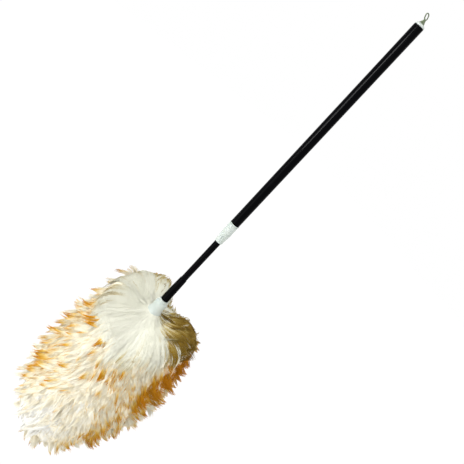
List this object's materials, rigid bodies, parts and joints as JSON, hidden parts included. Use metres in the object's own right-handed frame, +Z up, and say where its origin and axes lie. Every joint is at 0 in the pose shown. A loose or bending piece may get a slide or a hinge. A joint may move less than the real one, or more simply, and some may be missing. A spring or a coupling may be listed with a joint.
{
  "type": "telescopic lambswool duster",
  "caption": "Duster with a fluffy lambswool head on a black telescopic pole that twists to lock, with natural plastic fittings and a hanging eye.",
  "frame": {"origin": "on the pole's axis, at the height where a hook bears inside the hanging eye", "axes": "+Z up along the pole, as it hangs with the wool down; +X is across the eye's opening, on the side away from its lean; +Y lies in the plane of the eye"},
  "size_m": [0.2215, 0.2217, 0.9669],
  "materials": {
    "black_plastic": "satin gloss extruded tube",
    "natural_plastic": "milky, slightly translucent moulding",
    "lock_plastic": "plain moulding",
    "steel_wire": "plated",
    "core_wood": "raw dowel",
    "sheepskin": "tanned hide",
    "lambswool": "fluffy wool, cream with golden-brown tips"
  },
  "bodies": {
    "outer_pole": {"outer_tube": "black_plastic", "end_cap": "natural_plastic", "nose_ferrule": "natural_plastic"},
    "drag_washer": {"drag_washer": "lock_plastic"},
    "inner_pole": {"inner_tube": "black_plastic", "cam_plug": "lock_plastic", "lock_screw": "steel_wire", "head_socket": "black_plastic", "head_ferrule": "natural_plastic", "head_rod": "core_wood", "pelt_strip": "sheepskin", "strip_staple_top_1": "steel_wire", "strip_staple_top_2": "steel_wire", "strip_staple_end_1": "steel_wire", "strip_staple_end_2": "steel_wire", "wool_pile": "lambswool"},
    "lock_ring": {"lock_ring": "lock_plastic"}
  },
  "joints": [
    {"name": "telescope", "type": "slide", "parent": "outer_pole", "child": "drag_washer", "axis": [0, 0, -1], "range_m": [-0.088, 0.225]},
    {"name": "twist_lock", "type": "hinge", "parent": "drag_washer", "child": "inner_pole", "pos_m": [0, 0, -0.15], "axis": [0, 0, 1], "range_deg": [0, 180]},
    {"name": "ring_float", "type": "hinge", "parent": "inner_pole", "child": "lock_ring", "pos_m": [0, -0.00042, -0.156], "axis": [0, 0, 1], "range_deg": [-180, 0]}
  ],
  "couplings": [
    {"joint": "ring_float", "follows": "twist_lock", "ratio": -1}
  ]
}
